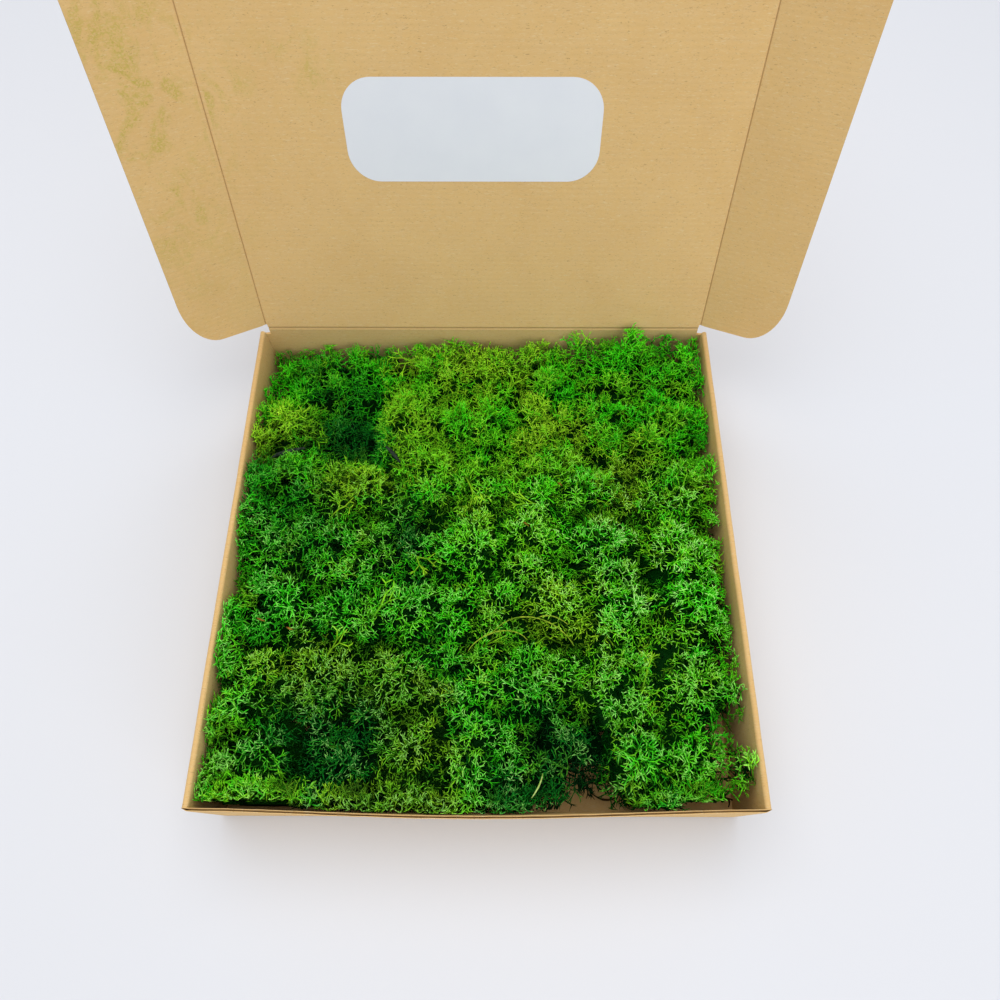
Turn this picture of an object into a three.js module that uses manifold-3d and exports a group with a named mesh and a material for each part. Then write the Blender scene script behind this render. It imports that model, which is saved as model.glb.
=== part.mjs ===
// Mailer box of corrugated kraft board with its lid open, packed with tufts of preserved
// reindeer lichen dyed green. Millimetres, +Z up. The origin is the middle of the tray's
// underside, +Y points to the hinge side and -Y to the front wall.

import * as THREE from 'three';
import Module from 'manifold-3d';
import { mergeVertices } from 'three/addons/utils/BufferGeometryUtils.js';

const wasm = await Module();
wasm.setup();

// Box
const boxWidth = 300;
const boxDepth = 300;
const board = 1.6; // one thickness of E-flute board
const rolledWall = 3.3; // a side wall is the board rolled over on itself
const rimHeight = 61.6; // top of the side walls and of the front wall
const frontBow = 3.4; // how far the front wall's top edge bulges forwards
const meshGap = 0.3; // left between pieces that touch

// Lid, hinged along the top of the back wall
const hingeHeight = 65.3; // middle of the lid's board when it is shut
const creaseRound = board / 2; // what turns has a round edge on its crease's own line
const creaseGap = creaseRound + meshGap; // and its neighbour's edge stands this far off
const lidHalfWidth = 144.6; // from the middle to the creases of the dust flaps
const lidLength = 296; // from the hinge to the front crease
const lidLean = 15.6; // degrees behind upright, as it stands open

// Flaps of the lid
const dustFlapWidth = 49;
const dustFlapStart = 2; // above the hinge
const dustFlapEnd = 288;
const dustFlapCornerWide = 20;
const dustFlapCornerLong = 31;
const leftFlapFold = 31.6; // degrees towards the tray, as they spring at rest
const rightFlapFold = 25.9;
const frontFlapFold = 20;
const frontFlapDepth = 44;
const frontFlapHalfWidth = 138;
const frontFlapCorner = 16;

// Paper label on the lid's inner face
const labelWidth = 138;
const labelHeight = 55;
const labelCorner = 17;
const labelPaper = 0.25;
const labelMiddle = [-3.2, 128]; // sideways, and up the lid from the hinge

// Lichen
const lichenColumns = 7;
const lichenRows = 7;
const lichenSide = 142.6; // the tufts stay inside the folded dust flaps
const lichenFront = -144.6;
const lichenBack = 147.6;
const lichenCeiling = 62; // under the label of the shut lid
const tuftGap = 0.7; // between two neighbouring tufts
const placeJitter = 6;
const tuftWidth = 58;
const branchHeight = 6; // of the first fork above the tuft's skin
const cornerGap = 9; // the lichen has drawn back from the walls near the front right corner
const cornerFrom = -84;

const kraft = { color: 0xc6a468, roughness: 0.86, metalness: 0 };
const paperWhite = { color: 0xe4e7ee, roughness: 0.55, metalness: 0 };
const dye = {
  teal: { color: 0x0c3a26, roughness: 0.9, metalness: 0 },
  deep: { color: 0x17551c, roughness: 0.9, metalness: 0 },
  emerald: { color: 0x1f8a1c, roughness: 0.9, metalness: 0 },
  bright: { color: 0x35a817, roughness: 0.9, metalness: 0 },
  lime: { color: 0x7cb61a, roughness: 0.9, metalness: 0 },
  olive: { color: 0x5c7f1c, roughness: 0.9, metalness: 0 },
};

// Where the shades and heights of the lichen change: a tuft takes both from the nearest.
// rise is the height of its highest tips above the table, and back is how far it stands
// behind the front wall where the floor shows.
const patches = [
  { shade: 'deep', x: -118, y: 128, rise: 47 },
  { shade: 'olive', x: -128, y: 100, rise: 55 },
  { shade: 'deep', x: -84, y: 122, rise: 50 },
  { shade: 'lime', x: -32, y: 124, rise: 55 },
  { shade: 'lime', x: -26, y: 96, rise: 59 },
  { shade: 'lime', x: 8, y: 128, rise: 56 },
  { shade: 'emerald', x: 44, y: 124, rise: 58 },
  { shade: 'emerald', x: 86, y: 130, rise: 62 },
  { shade: 'deep', x: 126, y: 124, rise: 61 },
  { shade: 'teal', x: -82, y: 82, rise: 42 },
  { shade: 'emerald', x: 6, y: 84, rise: 58 },
  { shade: 'lime', x: 28, y: 70, rise: 55 },
  { shade: 'deep', x: 66, y: 86, rise: 50 },
  { shade: 'emerald', x: 122, y: 86, rise: 61 },
  { shade: 'deep', x: -122, y: 46, rise: 55 },
  { shade: 'olive', x: -62, y: 44, rise: 58 },
  { shade: 'bright', x: -22, y: 40, rise: 60 },
  { shade: 'bright', x: 40, y: 36, rise: 60 },
  { shade: 'olive', x: 84, y: 44, rise: 52 },
  { shade: 'deep', x: -108, y: 2, rise: 58 },
  { shade: 'teal', x: -56, y: 4, rise: 50 },
  { shade: 'bright', x: 10, y: -4, rise: 61 },
  { shade: 'bright', x: 112, y: 20, rise: 60 },
  { shade: 'emerald', x: 62, y: -6, rise: 60 },
  { shade: 'emerald', x: -118, y: -50, rise: 58 },
  { shade: 'emerald', x: -70, y: -48, rise: 58 },
  { shade: 'emerald', x: -18, y: -56, rise: 56 },
  { shade: 'lime', x: 34, y: -56, rise: 58 },
  { shade: 'bright', x: 104, y: -48, rise: 61 },
  { shade: 'lime', x: -128, y: -94, rise: 60 },
  { shade: 'olive', x: -64, y: -94, rise: 56 },
  { shade: 'emerald', x: 20, y: -92, rise: 57 },
  { shade: 'bright', x: 68, y: -92, rise: 60 },
  { shade: 'bright', x: 118, y: -92, rise: 58 },
  { shade: 'lime', x: -126, y: -128, rise: 58 },
  { shade: 'teal', x: -92, y: -126, rise: 50 },
  { shade: 'olive', x: -46, y: -128, rise: 56 },
  { shade: 'emerald', x: -4, y: -130, rise: 58 },
  { shade: 'teal', x: 40, y: -126, rise: 50, back: 6 },
  { shade: 'bright', x: 86, y: -128, rise: 60 },
  { shade: 'bright', x: 124, y: -126, rise: 57, back: 7 },
];

const model = new THREE.Group();

// One named mesh, put into its group
function addMesh(group, name, geometry, finish) {
  const mesh = new THREE.Mesh(geometry, new THREE.MeshStandardMaterial(finish));
  mesh.name = name;
  group.add(mesh);
  return mesh;
}

// A closed geometry as a solid that can be joined and cut
function toSolid(geometry) {
  const bare = geometry.clone();
  bare.deleteAttribute('normal');
  bare.deleteAttribute('uv');
  const merged = mergeVertices(bare, 1e-4);
  const vertProperties = new Float32Array(merged.attributes.position.array);
  const triVerts = new Uint32Array(merged.index.array);
  return new wasm.Manifold(new wasm.Mesh({ numProp: 3, vertProperties, triVerts }));
}

function toGeometry(solid) {
  const mesh = solid.getMesh();
  const geometry = new THREE.BufferGeometry();
  geometry.setAttribute('position', new THREE.BufferAttribute(mesh.vertProperties, 3));
  geometry.setIndex(new THREE.BufferAttribute(mesh.triVerts, 1));
  geometry.computeVertexNormals();
  return geometry;
}

function block(x0, x1, y0, y1, z0, z1) {
  const box = new THREE.BoxGeometry(x1 - x0, y1 - y0, z1 - z0);
  return box.translate((x0 + x1) / 2, (y0 + y1) / 2, (z0 + z1) / 2);
}

// A side wall's section is rolled over at the top, where the board turns back on itself
function rolledSideWall() {
  const outer = boxWidth / 2;
  const inner = outer - rolledWall;
  const fold = rolledWall / 2;
  const section = new THREE.Shape();
  section.moveTo(inner, 0);
  section.lineTo(outer, 0);
  section.absarc(outer - fold, rimHeight - fold, fold, 0, Math.PI, false);
  section.closePath();
  const length = boxDepth - board;
  const wall = new THREE.ExtrudeGeometry(section, { depth: length, bevelEnabled: false, curveSegments: 6 });
  return wall.rotateX(Math.PI / 2).translate(0, length / 2, 0);
}

// The front wall stands on the floor's edge, and its top edge bows out in the middle
function bowedFrontWall() {
  const wall = new THREE.BoxGeometry(boxWidth, board, rimHeight, 20, 1, 4);
  wall.translate(0, -boxDepth / 2 + board / 2, rimHeight / 2);
  const place = wall.attributes.position;
  for (let i = 0; i < place.count; i += 1) {
    const across = (2 * place.getX(i)) / boxWidth;
    const up = place.getZ(i) / rimHeight;
    place.setY(i, place.getY(i) - frontBow * (1 - across ** 2) ** 2 * up ** 2);
  }
  return wall;
}

// The tray is one folded blank: floor, two rolled side walls, front wall and back wall.
// The back wall rises to the lid's crease between the side walls.
function trayGeometry() {
  const side = boxWidth / 2 - rolledWall / 2;
  const back = boxDepth / 2;
  const crease = lidHalfWidth - creaseGap;
  const pieces = [
    block(-side, side, -back + board / 2, back - board / 2, 0, board),
    rolledSideWall(),
    rolledSideWall().rotateZ(Math.PI),
    bowedFrontWall(),
    block(-boxWidth / 2, boxWidth / 2, back - board, back, 0, rimHeight - rolledWall),
    block(-crease, crease, back - board, back, rimHeight / 2, hingeHeight - creaseGap),
  ];
  let tray = toSolid(pieces[0]);
  for (const piece of pieces.slice(1)) tray = tray.add(toSolid(piece));

  // the rolled walls lock into four slots, seen as shallow grooves under the floor
  const slotLength = 44;
  const slotWidth = 2;
  const slotDepth = 0.6;
  const slotFromSide = boxWidth / 2 - rolledWall - slotWidth;
  for (const x of [-slotFromSide - slotWidth, slotFromSide]) {
    for (const y of [-boxDepth / 4, boxDepth / 4]) {
      const groove = block(x, x + slotWidth, y - slotLength / 2, y + slotLength / 2, -1, slotDepth);
      tray = tray.subtract(toSolid(groove));
    }
  }
  return toGeometry(tray);
}

// A flat piece from an outline in x and z, with half its thickness on each side of y = 0
function flatPiece(outline, thickness, curveSegments = 8) {
  const flat = new THREE.ExtrudeGeometry(outline, { depth: thickness, bevelEnabled: false, curveSegments });
  return flat.rotateX(Math.PI / 2).translate(0, thickness / 2, 0);
}

// A board that turns on a crease along z: its near edge is round about the crease, and it
// reaches out along x
function creasedSheet(reach, start, end) {
  const section = new THREE.Shape();
  section.moveTo(reach, -creaseRound);
  section.lineTo(reach, creaseRound);
  section.absarc(0, 0, creaseRound, Math.PI / 2, 1.5 * Math.PI, false);
  section.closePath();
  const sheet = new THREE.ExtrudeGeometry(section, { depth: end - start, bevelEnabled: false, curveSegments: 6 });
  return sheet.translate(0, 0, start);
}

// The same with its crease along x, reaching up along z
function standingSheet(reach, halfWidth) {
  return creasedSheet(reach, -halfWidth, halfWidth).rotateY(-Math.PI / 2);
}

function cutToOutline(sheet, outline) {
  return toGeometry(toSolid(sheet).intersect(toSolid(flatPiece(outline, 3 * board))));
}

// A dust flap runs out from its crease and has two large, long-drawn round corners
function dustFlapOutline() {
  const wide = dustFlapWidth;
  const cornerX = wide - dustFlapCornerWide;
  const outline = new THREE.Shape();
  const turn = Math.PI / 2;
  outline.moveTo(-board, dustFlapStart);
  outline.lineTo(cornerX, dustFlapStart);
  const low = dustFlapStart + dustFlapCornerLong;
  const high = dustFlapEnd - dustFlapCornerLong;
  const steps = 9;
  for (let i = 1; i <= steps; i += 1) {
    const a = -turn + (turn * i) / steps;
    outline.lineTo(cornerX + dustFlapCornerWide * Math.cos(a), low + dustFlapCornerLong * Math.sin(a));
  }
  for (let i = 0; i <= steps; i += 1) {
    const a = (turn * i) / steps;
    outline.lineTo(cornerX + dustFlapCornerWide * Math.cos(a), high + dustFlapCornerLong * Math.sin(a));
  }
  outline.lineTo(-board, dustFlapEnd);
  outline.closePath();
  return outline;
}

function frontFlapOutline() {
  const half = frontFlapHalfWidth;
  const round = frontFlapCorner;
  const outline = new THREE.Shape();
  outline.moveTo(-half, -board);
  outline.lineTo(half, -board);
  outline.absarc(half - round, frontFlapDepth - round, round, 0, Math.PI / 2, false);
  outline.lineTo(-half + round, frontFlapDepth);
  outline.absarc(-half + round, frontFlapDepth - round, round, Math.PI / 2, Math.PI, false);
  outline.closePath();
  return outline;
}

function labelOutline() {
  const [middleX, middleZ] = labelMiddle;
  const halfX = labelWidth / 2 - labelCorner;
  const halfZ = labelHeight / 2 - labelCorner;
  const outline = new THREE.Shape();
  outline.moveTo(middleX - halfX, middleZ - labelHeight / 2);
  outline.absarc(middleX + halfX, middleZ - halfZ, labelCorner, -Math.PI / 2, 0, false);
  outline.absarc(middleX + halfX, middleZ + halfZ, labelCorner, 0, Math.PI / 2, false);
  outline.absarc(middleX - halfX, middleZ + halfZ, labelCorner, Math.PI / 2, Math.PI, false);
  outline.absarc(middleX - halfX, middleZ - halfZ, labelCorner, Math.PI, 1.5 * Math.PI, false);
  outline.closePath();
  return outline;
}

function addBox() {
  addMesh(model, 'tray', trayGeometry(), kraft);

  // the lid's own frame: z runs up the lid from the hinge, -y is its inner face
  const lid = new THREE.Group();
  lid.position.set(0, boxDepth / 2 - board / 2, hingeHeight);
  lid.rotation.x = -THREE.MathUtils.degToRad(lidLean);
  model.add(lid);
  const lidPanel = standingSheet(lidLength - creaseGap, lidHalfWidth - creaseGap);
  addMesh(lid, 'lid_panel', lidPanel, kraft);
  const label = addMesh(lid, 'label', flatPiece(labelOutline(), labelPaper), paperWhite);
  label.position.y = -board / 2 - meshGap - labelPaper / 2;

  const dustSheet = creasedSheet(dustFlapWidth + board, 0, dustFlapEnd + board);
  const dustFlap = cutToOutline(dustSheet, dustFlapOutline());
  const dustFlaps = [
    { name: 'dust_flap_left', side: -1, fold: leftFlapFold },
    { name: 'dust_flap_right', side: 1, fold: rightFlapFold },
  ];
  for (const { name, side, fold } of dustFlaps) {
    const sideways = side > 0 ? dustFlap : dustFlap.clone().rotateZ(Math.PI);
    const flap = addMesh(lid, name, sideways, kraft);
    flap.position.x = side * lidHalfWidth;
    flap.rotation.z = -side * THREE.MathUtils.degToRad(fold);
  }

  const frontSheet = standingSheet(frontFlapDepth + board, frontFlapHalfWidth + board);
  const frontFlap = addMesh(lid, 'front_flap', cutToOutline(frontSheet, frontFlapOutline()), kraft);
  frontFlap.position.z = lidLength;
  frontFlap.rotation.x = THREE.MathUtils.degToRad(frontFlapFold);
}

// Repeatable draws between 0 and 1
function seededDraws(seed) {
  let state = seed;
  return () => {
    state = (state + 0x6d2b79f5) | 0;
    let mixed = Math.imul(state ^ (state >>> 15), 1 | state);
    mixed = (mixed + Math.imul(mixed ^ (mixed >>> 7), 61 | mixed)) ^ mixed;
    return ((mixed ^ (mixed >>> 14)) >>> 0) / 4294967296;
  };
}

function nearestPatch(x, y) {
  let best = patches[0];
  for (const patch of patches) {
    if (Math.hypot(patch.x - x, patch.y - y) < Math.hypot(best.x - x, best.y - y)) best = patch;
  }
  return best;
}

// Middles of the tufts: a lattice with every other row shifted, each middle moved by a draw
function tuftPlaces() {
  const draw = seededDraws(11);
  const width = (2 * lichenSide) / lichenColumns;
  const depth = (lichenBack - lichenFront) / lichenRows;
  const places = [];
  for (let row = 0; row < lichenRows; row += 1) {
    for (let column = 0; column < lichenColumns; column += 1) {
      const shift = (row % 2 === 0 ? 0.14 : -0.14) * width;
      const x = -lichenSide + (column + 0.5) * width + shift + (2 * draw() - 1) * placeJitter;
      const y = lichenBack - (row + 0.5) * depth + (2 * draw() - 1) * placeJitter;
      places.push({ x, y, patch: nearestPatch(x, y), seed: 1 + row * lichenColumns + column });
    }
  }
  return places;
}

// The planes that a tuft stays inside: halfway to each neighbour, the walls, floor and lid
function cellPlanes(place, places) {
  const planes = [];
  for (const other of places) {
    const dx = other.x - place.x;
    const dy = other.y - place.y;
    const away = Math.hypot(dx, dy);
    if (away > 0 && away < 3 * tuftWidth) {
      planes.push({ normal: new THREE.Vector3(dx / away, dy / away, 0), reach: (away - tuftGap) / 2 });
    }
  }
  const rightSide = lichenSide - (place.y < cornerFrom ? cornerGap : 0);
  const frontSide = lichenFront + (place.patch.back ?? 0);
  planes.push({ normal: new THREE.Vector3(1, 0, 0), reach: rightSide - place.x });
  planes.push({ normal: new THREE.Vector3(-1, 0, 0), reach: lichenSide + place.x });
  planes.push({ normal: new THREE.Vector3(0, 1, 0), reach: lichenBack - place.y });
  planes.push({ normal: new THREE.Vector3(0, -1, 0), reach: place.y - frontSide });
  return planes;
}

// A tuft is one body seen from a point low in its middle: every direction has one distance,
// so its branch tips never cross. Each triangle of a round cage of directions is raised to a
// tip, and on the upper half each of the three new triangles is raised again, as a branch
// of the lichen that forks and forks once more.
function tuftGeometry(place, places) {
  const draw = seededDraws(place.seed * 97);
  const floor = board + meshGap;
  const rise = Math.min(place.patch.rise, lichenCeiling);
  const middle = new THREE.Vector3(place.x, place.y, floor + 0.38 * (rise - floor));
  const planes = cellPlanes(place, places);
  planes.push({ normal: new THREE.Vector3(0, 0, -1), reach: middle.z - floor });
  planes.push({ normal: new THREE.Vector3(0, 0, 1), reach: rise - middle.z });

  const wide = tuftWidth / 2 + 2 * draw();
  const tall = rise - middle.z - 1.4 * branchHeight;
  const waves = [0, 1, 2, 3].map(() => ({
    along: new THREE.Vector3(draw() - 0.5, draw() - 0.5, draw() - 0.5).normalize(),
    count: 2.5 + 3 * draw(),
    phase: 6.3 * draw(),
  }));

  // distance to the skin under the tips: a dome, lumpy by a few waves, cut by its cell
  function skin(direction) {
    const up = direction.z > 0 ? direction.z / tall : direction.z / rimHeight;
    const out = Math.hypot(direction.x, direction.y) / wide;
    const fullness = 2.6;
    const distance = 1 / (out ** fullness + Math.abs(up) ** fullness) ** (1 / fullness);
    let lump = 0;
    for (const wave of waves) lump += Math.sin(wave.count * direction.dot(wave.along) + wave.phase);
    return distance * (0.88 + 0.045 * lump);
  }

  function placed(direction, distance) {
    let reach = distance;
    for (const plane of planes) {
      const towards = direction.dot(plane.normal);
      if (towards > 1e-6) reach = Math.min(reach, plane.reach / towards);
    }
    return direction.clone().multiplyScalar(reach);
  }

  const triangles = [];
  function raised(corners, level, height) {
    if (level === 0) {
      triangles.push(corners);
      return;
    }
    const weights = [0, 1, 2].map(() => 0.7 + 0.6 * draw());
    const direction = new THREE.Vector3();
    let mean = 0;
    corners.forEach((corner, i) => {
      direction.addScaledVector(corner.clone().normalize(), weights[i]);
      mean += corner.length() / 3;
    });
    direction.normalize();
    const tip = placed(direction, mean + height * (0.75 + 0.5 * draw()));
    const [a, b, c] = corners;
    for (const pair of [[a, b], [b, c], [c, a]]) raised([...pair, tip], level - 1, height * 1.15);
  }

  const cage = new THREE.IcosahedronGeometry(1, 1);
  const turn = new THREE.Euler(3 * draw(), 3 * draw(), 3 * draw());
  const spots = cage.attributes.position;
  for (let i = 0; i < spots.count; i += 3) {
    const directions = [0, 1, 2].map((k) => new THREE.Vector3().fromBufferAttribute(spots, i + k).applyEuler(turn));
    const corners = directions.map((direction) => placed(direction, skin(direction)));
    const mean = directions.reduce((sum, direction) => sum + direction.z / 3, 0);
    if (mean > 0.42) raised(corners, 2, branchHeight);
    else if (mean > -0.25) raised(corners, 1, 1.3 * branchHeight);
    else raised(corners, 0, 0);
  }

  const geometry = new THREE.BufferGeometry().setFromPoints(triangles.flat());
  const merged = mergeVertices(geometry.translate(middle.x, middle.y, middle.z), 1e-4);
  merged.computeVertexNormals();
  return merged;
}

function addLichen() {
  const places = tuftPlaces();
  const counts = {};
  for (const place of places) {
    const { shade } = place.patch;
    counts[shade] = (counts[shade] ?? 0) + 1;
    const name = `tuft_${shade}_${String(counts[shade]).padStart(2, '0')}`;
    addMesh(model, name, tuftGeometry(place, places), dye[shade]);
  }
}

addBox();
addLichen();

export default model;
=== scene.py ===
import math

import bpy
import numpy as np
from mathutils import Matrix, Vector


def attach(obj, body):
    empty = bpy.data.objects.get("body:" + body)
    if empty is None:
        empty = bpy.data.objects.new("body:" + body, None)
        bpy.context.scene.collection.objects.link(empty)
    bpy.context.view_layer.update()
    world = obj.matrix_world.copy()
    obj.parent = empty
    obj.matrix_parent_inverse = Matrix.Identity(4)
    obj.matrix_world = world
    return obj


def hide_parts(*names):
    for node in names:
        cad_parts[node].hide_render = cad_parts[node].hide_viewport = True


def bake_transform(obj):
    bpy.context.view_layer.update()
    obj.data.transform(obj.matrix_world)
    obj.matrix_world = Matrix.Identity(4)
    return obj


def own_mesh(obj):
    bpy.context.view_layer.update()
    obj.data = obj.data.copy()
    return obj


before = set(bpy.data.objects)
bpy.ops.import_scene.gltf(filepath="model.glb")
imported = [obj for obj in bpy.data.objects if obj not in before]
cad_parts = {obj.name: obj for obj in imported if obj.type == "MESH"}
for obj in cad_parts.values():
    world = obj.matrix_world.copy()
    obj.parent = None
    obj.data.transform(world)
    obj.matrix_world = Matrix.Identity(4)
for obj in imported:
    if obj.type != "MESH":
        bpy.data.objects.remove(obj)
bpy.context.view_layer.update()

mm = 0.001  # shapes are worked out in millimetres and stored in metres
scene = bpy.context.scene


# Camera and light

def makeCamera():
    view = dict(place=(0.01237, -0.16583, 0.4738), tilt=24.7, turn=0.25, roll=-0.11, lens=27.125)
    data = bpy.data.cameras.new("camera")
    data.lens = view["lens"]
    data.sensor_width = 36
    data.clip_start = 0.01
    camera = bpy.data.objects.new("camera", data)
    turned = Matrix.Rotation(math.radians(view["turn"]), 4, "Z")
    tilted = Matrix.Rotation(math.radians(view["tilt"]), 4, "X")
    rolled = Matrix.Rotation(math.radians(view["roll"]), 4, "Z")
    camera.matrix_world = Matrix.Translation(view["place"]) @ turned @ tilted @ rolled
    scene.collection.objects.link(camera)
    scene.camera = camera
    print("camera placed")


def srgb(code):
    # hex colour to linear values with alpha
    parts = [int(code[i:i + 2], 16) / 255 for i in (0, 2, 4)]
    return [c / 12.92 if c <= 0.04045 else ((c + 0.055) / 1.055) ** 2.4 for c in parts] + [1.0]


def makeLights():
    # a big soft window overhead, another behind the camera, and pale air all round
    lamps = dict(
        overhead=dict(size=1.8, power=21.5, place=(-0.1, 0.3, 1.75), aim=(0.0, 0.0, 0.05), colour="FFFCF6"),
        front=dict(size=1.9, power=19.5, place=(1.1, -1.75, 0.55), aim=(0.0, 0.2, 0.2), colour="F8FAFF"),
    )
    air = dict(colour="EEF1F8", strength=0.72)
    for name, lamp in lamps.items():
        data = bpy.data.lights.new(name, "AREA")
        data.size = lamp["size"]
        data.energy = lamp["power"]
        data.color = srgb(lamp["colour"])[:3]
        light = bpy.data.objects.new(name, data)
        facing = (Vector(lamp["aim"]) - Vector(lamp["place"])).to_track_quat("-Z", "Y")
        light.matrix_world = Matrix.Translation(lamp["place"]) @ facing.to_matrix().to_4x4()
        scene.collection.objects.link(light)
    world = bpy.data.worlds.new("pale_air")
    world.use_nodes = True
    background = world.node_tree.nodes["Background"]
    background.inputs["Color"].default_value = srgb(air["colour"])
    background.inputs["Strength"].default_value = air["strength"]
    scene.world = world
    scene.view_settings.view_transform = "Standard"
    print("lights placed")


# Meshes from arrays

def makePiece(name, shells, body, material, sharp=None, marks=()):
    # shells are dictionaries of points (n,3) in mm, faces (list of index arrays), uv (n,2) in m
    # and a value of each mark for every point; they become one object
    points, faces, uvs = [], [], []
    values = {mark: [] for mark in marks}
    start = 0
    for shell in shells:
        points.append(shell["points"])
        faces += [f + start for f in shell["faces"]]
        uvs.append(shell["uv"] if "uv" in shell else np.zeros((len(shell["points"]), 2)))
        for mark in marks:
            given = shell.get(mark, 0.0)
            values[mark].append(np.broadcast_to(np.asarray(given, float), (len(shell["points"]),)))
        start += len(shell["points"])
    points = np.concatenate(points)
    corners = np.concatenate([f.ravel() for f in faces])
    sizes = np.concatenate([np.full(len(f), f.shape[1]) for f in faces])
    mesh = bpy.data.meshes.new(name)
    mesh.vertices.add(len(points))
    mesh.vertices.foreach_set("co", (points * mm).ravel())
    mesh.loops.add(len(corners))
    mesh.loops.foreach_set("vertex_index", corners.astype(np.int32))
    mesh.polygons.add(len(sizes))
    mesh.polygons.foreach_set("loop_start", (np.cumsum(sizes) - sizes).astype(np.int32))
    mesh.update(calc_edges=True)
    mesh.shade_smooth()
    if sharp is not None:
        mesh.set_sharp_from_angle(angle=math.radians(sharp))
        layer = mesh.uv_layers.new(name="UVMap")
        layer.data.foreach_set("uv", np.concatenate(uvs)[corners].ravel())
    for mark in marks:
        attribute = mesh.attributes.new(mark, "FLOAT", "POINT")
        attribute.data.foreach_set("value", np.concatenate(values[mark]).astype(np.float32))
    mesh.materials.append(material)
    piece = bpy.data.objects.new(name, mesh)
    scene.collection.objects.link(piece)
    if body is not None:
        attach(piece, body)
    return piece


def outwards(points, faces):
    # the same faces, turned round if they enclose a negative volume
    volume = 0.0
    middle = points.mean(axis=0)
    for f in faces:
        for k in range(1, f.shape[1] - 1):
            a, b, c = (points[f[:, i]] - middle for i in (0, k, k + 1))
            volume += np.einsum("ij,ij->", a, np.cross(b, c))
    return faces if volume > 0 else [f[:, ::-1] for f in faces]


def gridFaces(rows, columns, start=0):
    index = np.arange(rows * columns).reshape(rows, columns) + start
    corners = (index[:-1, :-1], index[:-1, 1:], index[1:, 1:], index[1:, :-1])
    return np.stack(corners, -1).reshape(-1, 4)


def slabShell(front, back, uv, **marks):
    # a closed sheet: two grids of points face to face, and a strip round their borders
    rows, columns = front.shape[:2]
    count = rows * columns
    points = np.concatenate([front.reshape(-1, 3), back.reshape(-1, 3)])
    index = np.arange(count).reshape(rows, columns)
    border = np.concatenate([index[0], index[1:, -1], index[-1, -2::-1], index[-2:0:-1, 0]])
    following = np.roll(border, -1)
    strip = np.stack([following, border, border + count, following + count], -1)
    faces = [gridFaces(rows, columns), gridFaces(rows, columns, count)[:, ::-1], strip]
    shell = dict(points=points, faces=outwards(points, faces), uv=np.tile(uv.reshape(-1, 2), (2, 1)))
    for mark, value in marks.items():
        shell[mark] = np.tile(np.broadcast_to(value, (rows, columns)).ravel(), 2)
    return shell


def loftShell(sections, uv, **marks):
    # a closed profile carried along a path: sections (stations, profile points, 3), flat ends
    stations, around = sections.shape[:2]
    index = np.arange(stations * around).reshape(stations, around)
    after = np.roll(index, -1, axis=1)
    sides = np.stack([index[:-1], after[:-1], after[1:], index[1:]], -1).reshape(-1, 4)
    faces = [sides, index[:1, ::-1], index[-1:]]
    points = sections.reshape(-1, 3)
    shell = dict(points=points, faces=outwards(points, faces), uv=uv.reshape(-1, 2))
    for mark, value in marks.items():
        shell[mark] = np.broadcast_to(value, (stations, around)).ravel()
    return shell


def ripple(x, seed, length, octaves=3):
    # a smooth random wave of about +-1 along x, its longest period `length`
    draw = np.random.default_rng(seed)
    total = np.zeros_like(x, dtype=float)
    for octave in range(octaves):
        total += np.sin(2 * math.pi * x * 2 ** octave / length * draw.uniform(0.8, 1.25)
                        + draw.uniform(0, 6.28)) / 1.7 ** octave
    return total / 1.9


# Materials

rgba = dict(data_type="RGBA")  # settings of nodes that are used often
times = dict(operation="MULTIPLY")


def addNode(tree, kind, settings=None, out=0, **inputs):
    # one node: its settings, then each input's value, or the socket that feeds it; an input
    # is named, or i and its number. Gives the socket that comes out of the node
    node = tree.nodes.new("ShaderNode" + kind)
    for key, value in (settings or {}).items():
        setattr(node, key, value)
    for key, value in inputs.items():
        place = node.inputs[int(key[1:]) if key[1:].isdigit() else key]
        if isinstance(value, bpy.types.NodeSocket):
            tree.links.new(value, place)
        else:
            place.default_value = value
    return node.outputs[out]


def startMaterial(name, rough, shine):
    material = bpy.data.materials.new(name)
    material.use_nodes = True
    surface = material.node_tree.nodes["Principled BSDF"]
    surface.inputs["Roughness"].default_value = rough
    surface.inputs["Specular IOR Level"].default_value = shine
    return material, material.node_tree, surface


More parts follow.
